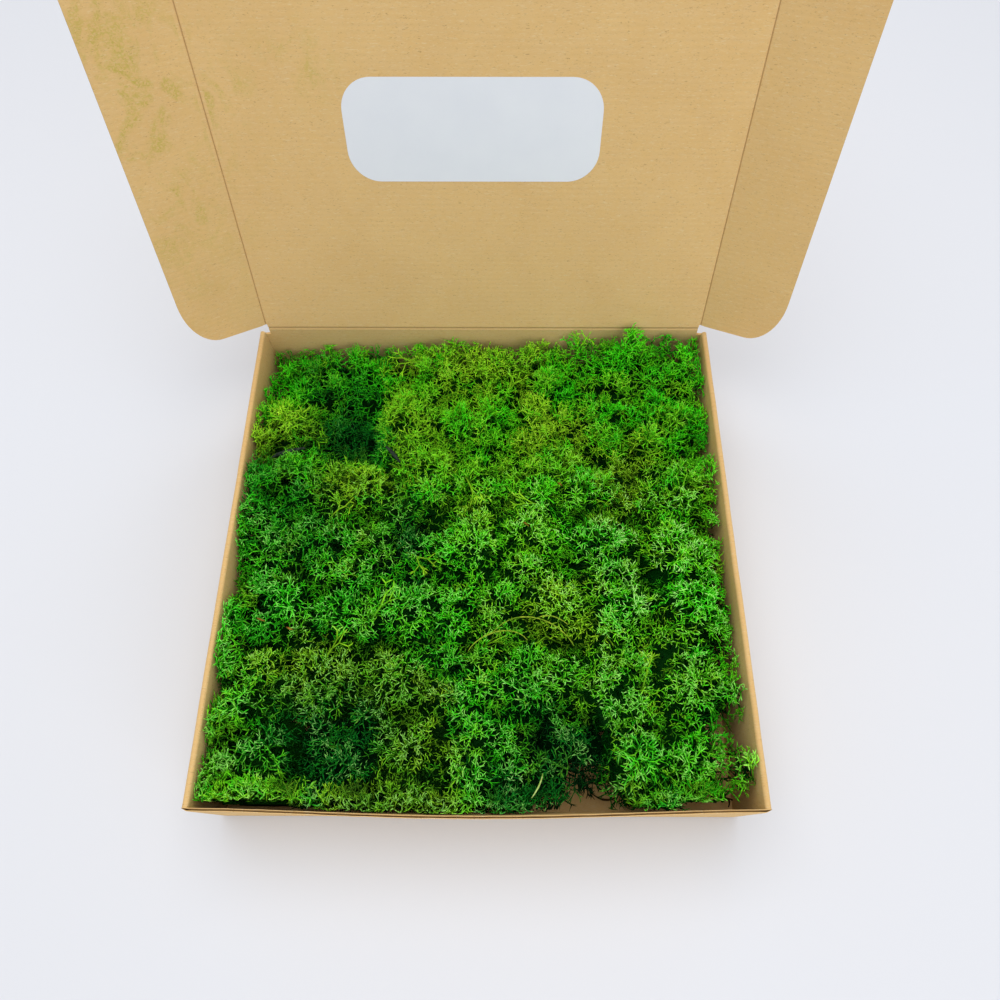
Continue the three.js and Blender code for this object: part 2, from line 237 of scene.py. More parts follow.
def kraftBoardMaterial():
    # Unbleached kraft liner on E-flute board, calendered: matt tan paper, cloudy from fibre
    # clumps, with long pale and brown fibres, a few bark specks, and the flutes just
    # showing through as faint lines
    look = dict(face="DBB577", cloud="CAA062", clump="D6B787", pale="DEC89A", brown="9A7440",
                bark="6B4A26", flute="8E6A3A", dye="AFA037", pressed="7A4E26", raw="A98755")
    size = dict(cloud=(45, 45), clump=(7, 7), pale=(3.2, 0.45), brown=(1.9, 0.6), fade=(30, 9),
                blot=(15, 20), grain=(1.7, 1.7), flute=3.3, speck=2.2)  # in mm
    material, tree, surface = startMaterial("kraft_liner_board_inside", 0.84, 0.3)
    uv = addNode(tree, "TexCoord", out="UV")

    def noiseAt(name, detail, offset):
        # a noise with patches of this size across and along, turned a little out of line
        across, along = size[name]
        moved = addNode(tree, "Mapping", Vector=uv, Scale=(1 / (across * mm), 1 / (along * mm), 1),
                        Location=(offset, offset * 0.7, 0), Rotation=(0, 0, 0.11 * math.sin(offset)))
        return addNode(tree, "TexNoise", Vector=moved, Scale=1.0, Detail=detail, Roughness=0.55,
                       Distortion=1.1)

    fibre = noiseAt("pale", 2, 5.7)
    speckAt = addNode(tree, "TexVoronoi", Vector=uv, Scale=1 / (size["speck"] * mm))
    chosen = addNode(tree, "SeparateColor", Color=speckAt.node.outputs["Color"])
    # the flutes under the liner: a sine across them, fading in and out
    turns = addNode(tree, "Math", times, i0=addNode(tree, "SeparateXYZ", out="Y", Vector=uv),
                    i1=2 * math.pi / (size["flute"] * mm))
    wave = addNode(tree, "Math", times, i0=addNode(tree, "Math", dict(operation="SINE"), i0=turns),
                   i1=addNode(tree, "MapRange", i0=noiseAt("fade", 2, 21.0), i1=0.35, i2=0.65))
    # green dye rubbed off the lichen: faint, in cloudy spots
    spot = addNode(tree, "Math", times,
                   i0=addNode(tree, "MapRange", i0=noiseAt("blot", 3, 31.0), i1=0.46, i2=0.64),
                   i1=addNode(tree, "MapRange", i0=noiseAt("grain", 3, 37.0), i1=0.42, i2=0.6, i3=0.25))
    marks = {name: addNode(tree, "Attribute", dict(attribute_name=name), "Fac") for name in marksOfBoard}
    layers = (  # how much of each colour lies over the ones before it
        (addNode(tree, "MapRange", i0=noiseAt("cloud", 3, 3.1), i1=0.3, i2=0.7), "cloud"),
        (0.72, "face"),
        (addNode(tree, "MapRange", i0=noiseAt("clump", 3, 11.3), i1=0.35, i2=0.7, i4=0.25), "clump"),
        (addNode(tree, "MapRange", i0=fibre, i1=0.58, i2=0.68, i4=0.6), "pale"),
        (addNode(tree, "MapRange", i0=noiseAt("brown", 3, 8.2), i1=0.60, i2=0.70, i4=0.5), "brown"),
        (addNode(tree, "Math", times,
                 i0=addNode(tree, "MapRange", i0=speckAt, i1=0.05, i2=0.11, i3=0.6, i4=0.0),
                 i1=addNode(tree, "MapRange", i0=chosen, i1=0.93, i2=0.94)), "bark"),
        (addNode(tree, "MapRange", i0=wave, i1=-1.0, i2=1.0, i4=0.065), "flute"),
        (addNode(tree, "Math", times, i0=marks["stain"], i1=spot), "dye"),
        # painted shade in the crease grooves, together with the darker colour of the pressed liner
        (marks["pressed"], "pressed"),
        (marks["raw"], "raw"),
    )
    colour = srgb(look["face"])
    for amount, name in layers:
        colour = addNode(tree, "Mix", rgba, 2, i0=amount, i6=colour, i7=srgb(look[name]))
    tree.links.new(colour, surface.inputs["Base Color"])
    height = addNode(tree, "Math", dict(operation="MULTIPLY_ADD"), i0=wave, i1=0.35, i2=fibre)
    bumps = addNode(tree, "Bump", Height=height, Strength=0.35, Distance=0.00006)
    tree.links.new(bumps, surface.inputs["Normal"])
    return material


def labelPaperMaterial():
    # Matt coated label stock, die cut: cool white, very slightly mottled, a dull sheen
    look = dict(cool="DCDEE2", pale="DFE1E4", mottleMm=25, grainMm=0.5)
    material, tree, surface = startMaterial("label_stock_matt_coated", 0.48, 0.5)
    uv = addNode(tree, "TexCoord", out="UV")
    mottle = addNode(tree, "TexNoise", Vector=uv, Scale=1 / (look["mottleMm"] * mm), Detail=4.0)
    grain = addNode(tree, "TexNoise", Vector=uv, Scale=1 / (look["grainMm"] * mm), Detail=2.0)
    colour = addNode(tree, "Mix", rgba, 2, i0=addNode(tree, "MapRange", i0=mottle, i1=0.35, i2=0.65),
                     i6=srgb(look["cool"]), i7=srgb(look["pale"]))
    tree.links.new(colour, surface.inputs["Base Color"])
    bumps = addNode(tree, "Bump", Height=grain, Strength=0.2, Distance=0.00003)
    tree.links.new(bumps, surface.inputs["Normal"])
    return material


# Places on the lid: a point is origin + across * a + along * b + normal * d

hinge = np.array([0.0, 149.2, 65.3])
leanDegrees = 15.6  # behind upright
lean = math.radians(leanDegrees)
sideways = np.array([1.0, 0.0, 0.0])
upLid = np.array([0.0, math.sin(lean), math.cos(lean)])
offLid = np.array([0.0, -math.cos(lean), math.sin(lean)])  # out of the lid's inner face
foldLine = 144.6  # the dust flaps' creases, either side of the middle
lidLength = 296.0
board = 1.6
foldHalf = 2.2  # a crease's strip reaches this far to each side
bendHalf = 1.2  # and the board bends within this much of it


def axesOf(origin, across, along, normal):
    return dict(origin=origin, across=across, along=along, normal=normal)


def at(axes, a, b, d):
    a, b, d = np.broadcast_arrays(np.asarray(a, float), np.asarray(b, float), np.asarray(d, float))
    return (axes["origin"] + a[..., None] * axes["across"] + b[..., None] * axes["along"]
            + d[..., None] * axes["normal"])


lidAxes = axesOf(hinge, sideways, upLid, offLid)


def dustFlapAxes(side, fold):
    turn = math.radians(fold)
    outward = side * math.cos(turn) * sideways + math.sin(turn) * offLid
    inner = -side * math.sin(turn) * sideways + math.cos(turn) * offLid
    return axesOf(hinge + side * foldLine * sideways, outward, upLid, inner)


def frontFlapAxes(fold):
    turn = math.radians(fold)
    outward = math.cos(turn) * upLid + math.sin(turn) * offLid
    inner = -math.sin(turn) * upLid + math.cos(turn) * offLid
    return axesOf(hinge + lidLength * upLid, sideways, outward, inner)


# Corrugated board

flute = dict(pitch=3.3, liner=0.3, medium=0.22, step=0.5)


def boardShells(axes, rows, low, high, columns, uvOf, stain=None):
    # two liners and the fluted medium between them; the medium's middle is a sine across
    # the flutes, which run along `across`
    half = board / 2
    shells = []
    share = np.linspace(0, 1, columns)

    def sheet(b, inside, outside, share, stained=False, **marks):
        lowAt, highAt = np.interp(b, rows, low), np.interp(b, rows, high)
        a = lowAt[:, None] + (highAt - lowAt)[:, None] * share
        wide = np.broadcast_to(b[:, None], a.shape)
        uv = uvOf(a, wide) * mm
        if stained and stain is not None:
            marks["stain"] = stain(uv[..., 0] / mm, uv[..., 1] / mm)
        return slabShell(at(axes, a, wide, np.broadcast_to(inside[:, None], a.shape)),
                         at(axes, a, wide, np.broadcast_to(outside[:, None], a.shape)), uv, **marks)

    level = np.ones_like(rows)
    shells.append(sheet(rows, half * level, (half - flute["liner"]) * level, share, True))
    shells.append(sheet(rows, -(half - flute["liner"]) * level, -half * level, share))
    fine = np.arange(rows[0] + 0.3, rows[-1] - 0.3, flute["step"])
    thick = flute["medium"] / 2
    swing = half - flute["liner"] - thick
    wave = swing * np.sin(2 * math.pi * fine / flute["pitch"])
    shells.append(sheet(fine, wave + thick, wave - thick, share[[0, -1]], raw=1.0))
    return shells


def creaseShell(axes, fold, b, uvOf, groove):
    # the board bends by `fold` degrees about the crease line: its middle line
    # is the sum of small steps that turn with a smoothstep, and a groove is pressed into
    # the inner face. axes: across crosses the crease, along runs with it
    q = np.linspace(-foldHalf, foldHalf, 23)
    t = np.clip((q + bendHalf) / (2 * bendHalf), 0, 1)
    turn = math.radians(fold) * t * t * (3 - 2 * t)
    between = (turn[1:] + turn[:-1]) / 2
    step = np.diff(q)
    a = np.concatenate([[q[0]], q[0] + np.cumsum(step * np.cos(between))])
    d = np.concatenate([[0.0], np.cumsum(step * np.sin(between))])
    end = np.array([foldHalf * math.cos(math.radians(fold)), foldHalf * math.sin(math.radians(fold))])
    share = (q - q[0]) / (q[-1] - q[0])
    a = a + (end[0] - a[-1]) * share
    d = d + (end[1] - d[-1]) * share
    depth = np.interp(q, *groove)
    inside = np.stack([a - np.sin(turn) * (board / 2 - depth), d + np.cos(turn) * (board / 2 - depth)])
    outside = np.stack([a + np.sin(turn) * (board / 2), d - np.cos(turn) * (board / 2)])
    profile = np.concatenate([inside, outside[:, ::-1]], axis=1)
    qAll = np.concatenate([q, q[::-1]])
    # the mark darkens the groove: partly the pressed liner's own darker colour, partly painted shade
    pressed = np.concatenate([np.clip(depth / max(groove[1]), 0, 1) ** 2, np.zeros_like(q)])
    stations = at(axes, profile[0][None, :], b[:, None], profile[1][None, :])
    wide = np.broadcast_to(qAll[None, :], stations.shape[:2])
    uv = uvOf(wide, np.broadcast_to(b[:, None], wide.shape)) * mm
    return loftShell(stations, uv, pressed=np.broadcast_to(pressed * 0.55, wide.shape))


makeCamera()
makeLights()
marksOfBoard = ("pressed", "raw", "stain")
kraft = kraftBoardMaterial()
labelStock = labelPaperMaterial()
flapGroove = ([-0.7, 0, 0.7], [0, 0.45, 0])  # across a flap's crease, and how deep, in mm


def stainOf(x, s):
    # rubbed-off dye on the left flap and the left of the lid
    blots = ((0.75, -178, 140, 36, 85), (0.5, -90, 162, 15, 16), (0.5, -132, 144, 14, 14))
    return sum(much * np.exp(-((x - left) / wide) ** 2 - ((s - high) / tall) ** 2)
               for much, left, high, wide, tall in blots)


# Lid

def makeLid():
    rows = np.linspace(foldHalf, lidLength - foldHalf, 60)
    edge = np.full_like(rows, foldLine - foldHalf)
    piece = makePiece("lid_board", boardShells(lidAxes, rows, -edge, edge, 24,
                                               lambda a, b: np.stack([a, b], -1), stainOf),
                      "lid", kraft, 35, marksOfBoard)
    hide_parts("lid_panel")


def cornerWidth(b, start, end, wide, cornerWide, cornerLong):
    # the width at b of a panel whose two far corners are quarter ellipses
    into = np.minimum(b - start, end - b)
    share = np.clip(1 - into / cornerLong, 0, 1)
    return wide - cornerWide * (1 - np.sqrt(1 - share ** 2))


def roundedRows(start, end, cornerLong, steps=14):
    # rows that crowd together towards both ends, where the outline turns fast
    turn = np.linspace(0, math.pi / 2, steps)
    arc = cornerLong * (1 - np.cos(turn))
    middle = np.linspace(start + cornerLong, end - cornerLong, 30)
    return np.unique(np.concatenate([start + arc, middle, end - arc]).round(6))


def makeDustFlap(side, name, fold):
    flap = dict(wide=49.0, start=2.0, end=288.0, cornerWide=20.0, cornerLong=31.0)
    axes = dustFlapAxes(side, fold)
    rows = roundedRows(flap["start"], flap["end"], flap["cornerLong"])
    outer = cornerWidth(rows, flap["start"], flap["end"], flap["wide"],
                        flap["cornerWide"], flap["cornerLong"])
    inner = np.full_like(rows, foldHalf)
    uvOf = lambda a, b: np.stack([side * (foldLine + a), b], -1)
    piece = makePiece(name + "_board", boardShells(axes, rows, inner, outer, 10, uvOf, stainOf),
                      name, kraft, 35, marksOfBoard)
    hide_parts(name)
    crease = axesOf(hinge + side * foldLine * sideways, side * sideways, upLid, offLid)
    b = np.linspace(flap["start"] + 0.2, flap["end"] - 0.2, 40)
    shell = creaseShell(crease, fold, b, uvOf, flapGroove)
    strip = makePiece(name + "_crease", [shell], None, kraft, 50, marksOfBoard)
    middle = (flap["start"] + flap["end"]) / 2
    start = at(crease, -bendHalf, middle, 0) * mm
    end = at(axes, bendHalf, middle, 0) * mm
    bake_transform(strip)


def makeFrontFlap():
    flap = dict(deep=44.0, halfWide=138.0, corner=16.0, fold=20.0)
    axes = frontFlapAxes(flap["fold"])
    turn = np.linspace(0, math.pi / 2, 14)
    rows = np.unique(np.concatenate([np.linspace(foldHalf, flap["deep"] - flap["corner"], 8),
                                     flap["deep"] - flap["corner"] * (1 - np.sin(turn))]).round(6))
    into = np.clip((rows - (flap["deep"] - flap["corner"])) / flap["corner"], 0, 1)
    half = flap["halfWide"] - flap["corner"] * (1 - np.sqrt(1 - into ** 2))
    uvOf = lambda a, b: np.stack([a, b + lidLength], -1)
    piece = makePiece("front_flap_board", boardShells(axes, rows, -half, half, 24, uvOf),
                      "front_flap", kraft, 35, marksOfBoard)
    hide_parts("front_flap")
    crease = axesOf(hinge + lidLength * upLid, upLid, sideways, offLid)
    b = np.linspace(-flap["halfWide"], flap["halfWide"], 30)
    shell = creaseShell(crease, flap["fold"], b, lambda a, b: np.stack([b, a + lidLength], -1),
                        flapGroove)
    strip = makePiece("front_flap_crease", [shell], None, kraft, 50, marksOfBoard)
    tuple(at(crease, -bendHalf, 0, 0) * mm)
    tuple(at(axes, 0, bendHalf, 0) * mm)
    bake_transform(strip)


def makeLidCrease():
    # the back wall turns into the lid; the pressed groove has a long lower slope, which
    # catches the light, and a short upper one in its own shade
    line = dict(half=143.5, bend=1.6, groove=([-2.0, -0.5, 0.45], [0, 0.85, 0]))
    crease = axesOf(hinge, np.array([0.0, 0.0, 1.0]), sideways, np.array([0.0, -1.0, 0.0]))
    b = np.linspace(-line["half"], line["half"], 40)
    shell = creaseShell(crease, -leanDegrees, b, lambda a, b: np.stack([b, a], -1), line["groove"])
    strip = makePiece("lid_crease", [shell], None, kraft, 50, marksOfBoard)
    tuple(at(crease, -line["bend"], 0, 0) * mm)
    tuple(at(lidAxes, 0, line["bend"], 0) * mm)
    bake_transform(strip)


def makeSticker():
    label = dict(wide=138.0, high=55.0, corner=17.0, middle=(-3.2, 128.0), proud=0.12)
    rows = roundedRows(-label["high"] / 2, label["high"] / 2, label["corner"])
    half = cornerWidth(rows, -label["high"] / 2, label["high"] / 2, label["wide"] / 2,
                       label["corner"], label["corner"])
    share = np.linspace(-1, 1, 16)
    a = label["middle"][0] + half[:, None] * share
    b = np.broadcast_to(label["middle"][1] + rows[:, None], a.shape)
    d = np.full(a.shape, board / 2 + 0.02)
    uv = np.stack([a, b], -1) * mm
    shell = slabShell(at(lidAxes, a, b, d + label["proud"]), at(lidAxes, a, b, d), uv)
    piece = makePiece("blank_label", [shell], "lid", labelStock, 35)
    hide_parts("label")


# Tray

tray = dict(half=150.0, wall=3.3, rim=61.6, bow=3.4, corner=1.5, foot=1.2, backRim=58.3, backTop=63.1,
            backHalf=143.5, slotX=(144.7, 146.7), slotAt=75.0, slotHalf=22.0, slotDeep=0.6)
half, rim = tray["half"], tray["rim"]


def bowAt(x, z):
    # how far the filled front wall bulges forwards
    return tray["bow"] * (1 - (x / half) ** 2) ** 2 * (z / rim) ** 2


def roundedBack(x, z):
    # how far the round corners and the round foot take an outer face back
    corner, foot = tray["corner"], tray["foot"]
    cut = np.clip(np.abs(x) - (half - corner), 0, corner)
    low = np.clip(foot - z, 0, foot)
    return np.maximum(corner - np.sqrt(corner ** 2 - cut ** 2),
                      foot - np.sqrt(np.clip(foot ** 2 - low ** 2, 0, None)))


def floorShell():
    # the underside has the slots of the rolled walls' tabs, with a line just inside and just
    # outside each edge of a slot
    low, high = tray["slotX"]
    edge = (-0.05, 0.05)
    edgesX = [-148.35, 148.35] + [s * (x + e) for s in (-1, 1) for x in (low, high) for e in edge]
    edgesY = [-148.9, 148.9] + [s * tray["slotAt"] + t * tray["slotHalf"] + e
                                for s in (-1, 1) for t in (-1, 1) for e in edge]
    gridX = np.unique(np.concatenate([edgesX, np.linspace(-140, 140, 15)]))
    gridY = np.unique(np.concatenate([edgesY, np.linspace(-140, 140, 9)]))
    x, y = np.meshgrid(gridX, gridY, indexing="ij")
    inSlot = ((np.abs(x) > low) & (np.abs(x) < high)
              & (np.abs(np.abs(y) - tray["slotAt"]) < tray["slotHalf"]))
    under = np.where(inSlot, tray["slotDeep"], 0.0)
    return slabShell(np.stack([x, y, np.full_like(x, board)], -1), np.stack([x, y, under], -1),
                     np.stack([x, y], -1) * mm)


def rolledWallShell(side):
    # board folded over on itself, so the top is round and a little uneven
    y = np.linspace(-148.45, 148.3, 90)
    turn = np.linspace(0, math.pi, 11)
    radius = tray["wall"] / 2
    foot = np.linspace(0, math.pi / 2, 5)
    outerX = np.concatenate([half - tray["foot"] + tray["foot"] * np.sin(foot), [half, half]])
    outerZ = np.concatenate([tray["foot"] - tray["foot"] * np.cos(foot), [rim * 0.4, rim * 0.8]])
    profileX = np.concatenate([outerX, half - radius + radius * np.cos(turn), [half - tray["wall"]] * 3])
    profileZ = np.concatenate([outerZ, rim - radius + radius * np.sin(turn), [rim * 0.8, rim * 0.3, 1.0]])
    sway = 0.18 * ripple(y, 40 + side, 150)[:, None] * np.clip(profileZ / rim, 0, 1) ** 2
    sink = 0.16 * (ripple(y, 50 + side, 60)[:, None] - 0.6) * (profileZ > rim - radius)
    wide = np.broadcast_to(y[:, None], sway.shape)
    sections = np.stack([side * (profileX + np.minimum(sway, 0)), wide, profileZ + sink], -1)
    length = np.concatenate([[0], np.cumsum(np.hypot(np.diff(profileX), np.diff(profileZ)))])
    uv = np.stack([np.broadcast_to(side * (half + length), sway.shape), wide], -1) * mm
    return loftShell(sections, uv)


def backWallShell():
    # full width to below the rim, then a tongue that carries the lid's crease
    z = np.array([0.0, 0.35, 0.9, 1.6, 20, 40, tray["backRim"], tray["backRim"] + 0.05,
                  61, tray["backTop"]])
    wide = np.where(z <= tray["backRim"], half - 0.4, tray["backHalf"])
    x = wide[:, None] * np.linspace(-1, 1, 24)
    z = np.broadcast_to(z[:, None], x.shape)
    outer = np.stack([x, half - roundedBack(x, z), z], -1)
    inner = np.stack([x, np.full_like(x, half - board), z], -1)
    return slabShell(inner, outer, np.stack([x, half + z], -1) * mm)


def frontWallShells():
    # two liners and the flutes between them, bowed forwards at the raw top edge
    def sheet(x, z, near, far, top, raw=0.0):
        # near and far are distances behind the wall's outer face, top is the edge's height
        xx = np.broadcast_to(x[None, :], (len(z) + 1, len(x)))
        zz = np.concatenate([np.broadcast_to(z[:, None], (len(z), len(x))), top[None, :]])
        zz = np.minimum(zz, top[None, :])
        grids = []
        for depth in (near, far):
            back = depth(zz)
            back = np.maximum(back, roundedBack(xx, zz) + 0.02 * back)
            grids.append(np.stack([xx, -half + back - bowAt(xx, zz), zz], -1))
        return slabShell(grids[0], grids[1], np.stack([xx, -half - zz], -1) * mm, raw=raw)

    def linerAt(depth, sway):
        # the liners part slightly towards the cut edge
        return lambda z: depth + np.clip((z - rim + 3.0) / 3.0, 0, 1) * sway

    def mediumAt(depth):
        return lambda z: depth + 0.3 * np.sin(2 * math.pi * z / flute["pitch"])

    x = np.linspace(-half, half, 101)
    z = np.concatenate([[0.0, 0.35, 0.9, 1.6], np.linspace(5, rim - 4, 6),
                        np.linspace(rim - 3, rim - 0.3, 5)])
    flare = 0.05 + 0.08 * ripple(x, 61, 34)
    pinch = 0.08 * ripple(x, 62, 21)
    outer = sheet(x, z, linerAt(0.0, flare), linerAt(0.34, flare), rim - 0.12 + 0.1 * ripple(x, 63, 40))
    inner = sheet(x, z, linerAt(1.26, pinch), linerAt(1.6, pinch), rim - 0.2 + 0.12 * ripple(x, 64, 46))
    x = np.linspace(-half, half, 61)
    z = np.concatenate([[0.5], np.arange(1.5, rim - 0.9, 0.55)])
    medium = sheet(x, z, mediumAt(0.68), mediumAt(0.90), rim - 0.85 + 0.2 * ripple(x, 65, 17), raw=1.0)
    return [outer, inner, medium]


def makeTray():
    shells = [floorShell(), rolledWallShell(-1), rolledWallShell(1), backWallShell()] + frontWallShells()
    piece = makePiece("tray_board", shells, "tray", kraft, 35, marksOfBoard)
    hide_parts("tray")
    print("tray made")


makeTray()
makeLid()
makeLidCrease()
makeDustFlap(-1, "dust_flap_left", 31.6)
makeDustFlap(1, "dust_flap_right", 25.9)
makeFrontFlap()
makeSticker()
print("box made")


# Lichen

dyes = dict(  # what the preserved tips look like where the dye took fully and poorly, and where they are darker, which stands both for darker dye and for painted shade; pale is the pale tips, partly painted sheen
    full="46F412", yellow="B4F22C", darkAndShaded="0A7E22", darkYellowAndShaded="629A18", pale="BCFF8A")
shades = dict(  # how yellow and how dark each shade is, and its own root colour
    teal=(0.0, 0.95, "00300C"), deep=(0.1, 0.55, "003804"), emerald=(0.12, 0.2, "003E04"),
    bright=(0.35, 0.0, "004404"), lime=(0.8, 0.0, "084602"), olive=(0.85, 0.45, "0A3C02"))
marksOfLichen = ("reach", "yellow", "dark", "pale")


def lichenMaterial(shade):
    # Reindeer lichen preserved in glycerine and dyed: soft matt branchlets, paler and yellower
    # towards the tips where the dye took less; dark where they root and deep in the heap, partly their own
    # colour and partly painted shade
    material, tree, surface = startMaterial("preserved_lichen_dyed_" + shade, 0.7, 0.1)
    reach, yellow, dark, pale = (addNode(tree, "Attribute", dict(attribute_name=name), "Fac")
                                 for name in marksOfLichen)
    lit = addNode(tree, "Mix", rgba, 2, i0=yellow, i6=srgb(dyes["full"]), i7=srgb(dyes["yellow"]))
    # the darker tip colours, for darker dye and for painted shade
    darkAndShaded = addNode(tree, "Mix", rgba, 2, i0=yellow, i6=srgb(dyes["darkAndShaded"]),
                     i7=srgb(dyes["darkYellowAndShaded"]))
    tip = addNode(tree, "Mix", rgba, 2, i0=dark, i6=lit, i7=darkAndShaded)
    # pale tips: partly the tips' own paler colour, partly a painted sheen
    paleTipsAndSheen = addNode(tree, "Math", times, i0=pale,
                       i1=addNode(tree, "MapRange", i0=reach, i1=0.84, i2=0.97))
    tip = addNode(tree, "Mix", rgba, 2, i0=paleTipsAndSheen, i6=tip, i7=srgb(dyes["pale"]))
    # the reach mark runs from root to tip and is lowered deep in the heap and in its hollows, so there the
    # colour is painted shade
    colour = addNode(tree, "Mix", rgba, 2, i0=addNode(tree, "MapRange", i0=reach, i1=0.12, i2=0.88),
                     i6=srgb(shades[shade][2]), i7=tip)
    tree.links.new(colour, surface.inputs["Base Color"])
    return material


growth = dict(
    spacing=5.45,  # between the roots of neighbouring trees, in mm
    length=(5.2, 4.1, 3.6, 3.0),  # of a trunk, its forks, their forks and the tips
    radius=(0.58, 0.47, 0.40, 0.33),
    spread=(0, 27, 36, 43),  # degrees that each level leaves its parent by
    third=(0.40, 0.25, 0.50),  # share of forks with three prongs instead of two
    bend=(0.0, 0.15, 0.42, 0.85),  # how far each level curls sideways, for its length
    reach=11.5,  # from a root to the skin of the head
    under=8.0,  # the lower trees stand this far under the skin
    understory=1.5,  # and this many times as far apart
    rowStep=3.6,  # between the trees that line the walls
    shadeDepth=9.5,  # from the skin down to where hardly any light or dye reached
    shadeCoreDepth=27.0,  # from the skin down to the dark core that stands for the shade deep in the heap
    sharpFront=35,  # up to this y the tips are seen sharp, and curl
    # patches of the heap: place and size in mm, then how much yellower and how much darker
    tinted=(
        ((-125, -110), (32, 45), -0.5, 0.25), ((-130, 98), (14, 16), -0.1, -0.3),
        ((100, -132), (22, 16), -0.2, 0.25), ((-48, -126), (24, 16), 0.05, -0.25),
        ((-60, -90), (40, 40), -0.2, 0.1), ((-80, 110), (30, 24), -0.25, 0.1),
        ((-82, 83), (24, 20), -0.3, 0.65), ((60, 90), (90, 60), 0.15, -0.2),
        ((15, -60), (30, 20), 0.25, -0.1), ((-10, 20), (60, 60), 0.0, -0.15),
        ((60, -126), (14, 18), 0.0, 0.5), ((0, 20), (40, 40), 0.15, -0.1)),
    # and where the branches are longer than elsewhere
    coarse=(((-120, 98), (15, 15), 0.45), ((84, -124), (30, 18), 0.16),
            ((-130, -100), (16, 20), 0.15)),
)


def unit(v):
    return v / np.maximum(np.linalg.norm(v, axis=-1, keepdims=True), 1e-9)


def readNode(name):
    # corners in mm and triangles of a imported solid
    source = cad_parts[name].data
    corners = np.empty(len(source.vertices) * 3)
    source.vertices.foreach_get("co", corners)
    source.calc_loop_triangles()
    tris = np.empty(len(source.loop_triangles) * 3, np.int32)
    source.loop_triangles.foreach_get("vertices", tris)
    corners, tris = corners.reshape(-1, 3) / mm, tris.reshape(-1, 3)
    a, b, c = (corners[tris[:, i]] for i in range(3))
    normal = np.cross(b - a, c - a)
    area = np.linalg.norm(normal, axis=1) / 2
    if np.einsum("ij,ij->", a + b + c - 3 * corners.mean(0), normal) < 0:
        normal = -normal
    return dict(name=name, shade=name.split("_")[1], corners=corners, tris=tris, area=area,
                normal=unit(normal), middle=(corners.min(0) + corners.max(0)) / 2)


def onTriangles(tuft, picked, draw):
    a, b, c = (tuft["corners"][tuft["tris"][picked, i]] for i in range(3))
    r1, r2 = np.sqrt(draw.random((len(picked), 1))), draw.random((len(picked), 1))
    return (1 - r1) * a + r1 * (1 - r2) * b + r1 * r2 * c


cell = 1.0  # of the height map, in mm
mapHalf = (147, 149)


def cellOf(points):
    i = np.clip(np.rint((points[:, 0] + mapHalf[0]) / cell).astype(int), 0, 2 * mapHalf[0])
    j = np.clip(np.rint((points[:, 1] + mapHalf[1]) / cell).astype(int), 0, 2 * mapHalf[1])
    return i, j


def blurred(field, width):
    # a smooth mean over about `width` cells: three box means along each axis
    for axis in (0, 1):
        for _ in range(3):
            padded = np.concatenate([np.repeat(np.take(field, [0], axis), width, axis), field,
                                     np.repeat(np.take(field, [-1], axis), width, axis)], axis)
            total = np.cumsum(np.insert(padded, 0, 0.0, axis), axis)
            n = field.shape[axis]
            field = (np.take(total, np.arange(2 * width + 1, 2 * width + 1 + n), axis)
                     - np.take(total, np.arange(n), axis)) / (2 * width + 1)
    return field


def smoothDraw(draw, shape, width):
    # smooth random field with a spread of about 1 and patches of about `width` cells
    field = blurred(draw.normal(size=shape), width)
    return field / field.std()


def bump(x, y, place, size):
    return np.exp(-((x - place[0]) / size[0]) ** 2 - ((y - place[1]) / size[1]) ** 2)


heap = dict(
    lift=3.5,  # the branchlets stand this far over the solids
    valley=0.9,  # how much of the valleys between tufts stays
    lobe=(10.0, 17.0),  # radius of the lobes of a head
    lobeDrop=8.0,  # from a lobe's top to its edge
    lobeStep=18.0,  # between neighbouring lobes
    wallReach=16.0,  # nearer to a wall than this the heads stand up against it
    low=22,  # the skin's lowest and highest, and how high it is where the heap is full
    top=62.0,
    full=59.5,
    # patches of the heap, place and size in mm: full up to the rim, then raised and sunk by
    # so much, bare floor, and where the skin may stand over its highest
    against=(((-147, -30), (8, 105)), ((-50, -149), (98, 8)), ((98, -149), (26, 8)),
             ((147, 46), (9, 9)), ((147, -90), (9, 8)), ((145, -129), (8, 7))),
    high=(((98, 143), (11, 9), 11), ((66, 142), (6, 7), 12), ((34, 141), (11, 7), 6),
          ((-120, 98), (12, 14), 4), ((92, -118), (20, 16), 4), ((-128, -96), (14, 12), 3),
          ((-88, 143), (13, 8), 5), ((-12, 143), (20, 8), 4)),
    hollow=(((-147, -22), (10, 19), 19), ((-147, -88), (9, 8), 19), ((-147, -117), (7, 6), 13),
            ((146, -30), (7, 34), 9), ((139, -101), (8, 9), 16), ((50, 132), (6, 8), 5),
            ((82, 130), (6, 8), 5), ((-80, 86), (15, 17), 9), ((66, 84), (11, 12), 9),
            ((84, 92), (7, 8), 5), ((96, 66), (8, 6), 7), ((34, -112), (7, 8), 14),
            ((-96, -122), (13, 10), 6), ((-4, -62), (10, 5), 7), ((58, 20), (9, 5), 6),
            ((-136, 62), (8, 5), 12), ((46, -66), (6, 5), 6)),
    bare=(((66, -147), (21, 26)), ((148, -102), (12, 11)), ((150, -151), (22, 16))),
    tall=(((82, 140), (26, 11), 11), ((-42, 143), (60, 9), 4)),
)


